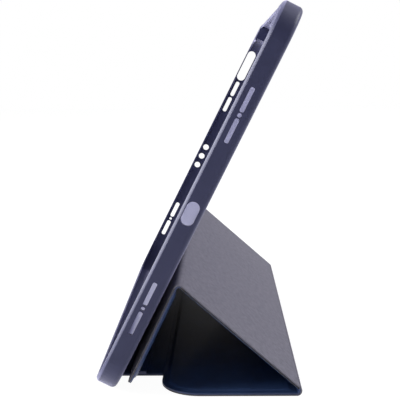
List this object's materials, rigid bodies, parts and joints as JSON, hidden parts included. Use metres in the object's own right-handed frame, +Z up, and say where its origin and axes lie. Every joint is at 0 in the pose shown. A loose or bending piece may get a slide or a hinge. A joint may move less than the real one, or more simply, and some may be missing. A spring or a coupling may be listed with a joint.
{
  "type": "tablet folio case",
  "caption": "Folio case for a flat tablet: a flexible moulded tray held up by its folding cover, which is creased into a triangular stand behind it.",
  "frame": {"origin": "middle of the object's footprint, on the surface it stands on", "axes": "+X along the tray's long side towards its charging end, -Y the way the open front looks, +Z up"},
  "size_m": [0.2518, 0.0955, 0.1741],
  "materials": {
    "moulded_tray": "satin, soft touch",
    "leather": "fine grain, satin",
    "lining": "brushed microfibre",
    "board": "plain",
    "adhesive": "clear film",
    "magnet": "plated"
  },
  "bodies": {
    "tray": {"tray_shell": "moulded_tray", "back_strip": "leather", "back_strip_glue": "adhesive"},
    "rear_crease": {"rear_crease_leather": "leather", "rear_crease_lining": "lining"},
    "spine": {"spine_leather": "leather", "spine_board": "board", "spine_lining": "lining"},
    "base_panel": {"front_crease_leather": "leather", "front_crease_lining": "lining", "base_panel_leather": "leather", "base_panel_board": "board", "base_panel_lining": "lining", "lower_fold_leather": "leather", "lower_fold_lining": "lining"},
    "middle_panel": {"middle_panel_leather": "leather", "middle_panel_board": "board", "middle_panel_lining": "lining", "upper_fold_leather": "leather", "upper_fold_lining": "lining"},
    "free_panel": {"free_panel_leather": "leather", "free_panel_board": "board", "free_panel_lining": "lining", "closure_magnets": "magnet", "wake_magnet": "magnet"}
  },
  "joints": [
    {"name": "cover_swing", "type": "hinge", "parent": "tray", "child": "spine", "pos_m": [0, -0.03725, -0.0011], "axis": [1, 0, 0], "range_deg": [-207, 0]},
    {"name": "rear_crease_turn", "type": "hinge", "parent": "tray", "child": "rear_crease", "pos_m": [0, -0.03725, -0.0011], "axis": [1, 0, 0], "range_deg": [-103.51, 0]},
    {"name": "front_fold", "type": "hinge", "parent": "spine", "child": "base_panel", "pos_m": [0, -0.02385, 0], "axis": [1, 0, 0], "range_deg": [-90.01, 0]},
    {"name": "lower_fold_turn", "type": "hinge", "parent": "base_panel", "child": "middle_panel", "pos_m": [0, 0.04508, 0.0024], "axis": [1, 0, 0], "range_deg": [-138.35, 0], "deforming": ["lower_fold_leather", "lower_fold_lining"]},
    {"name": "upper_fold_turn", "type": "hinge", "parent": "middle_panel", "child": "free_panel", "pos_m": [0, -0.00691, 0.04867], "axis": [1, 0, 0], "range_deg": [-105.81, 0], "deforming": ["upper_fold_leather", "upper_fold_lining"]}
  ],
  "couplings": [
    {"joint": "rear_crease_turn", "follows": "cover_swing", "ratio": 0.5},
    {"joint": "front_fold", "follows": "cover_swing", "ratio": 0.43478},
    {"joint": "lower_fold_turn", "follows": "cover_swing", "ratio": 0.66826},
    {"joint": "upper_fold_turn", "follows": "cover_swing", "ratio": 0.51111}
  ]
}
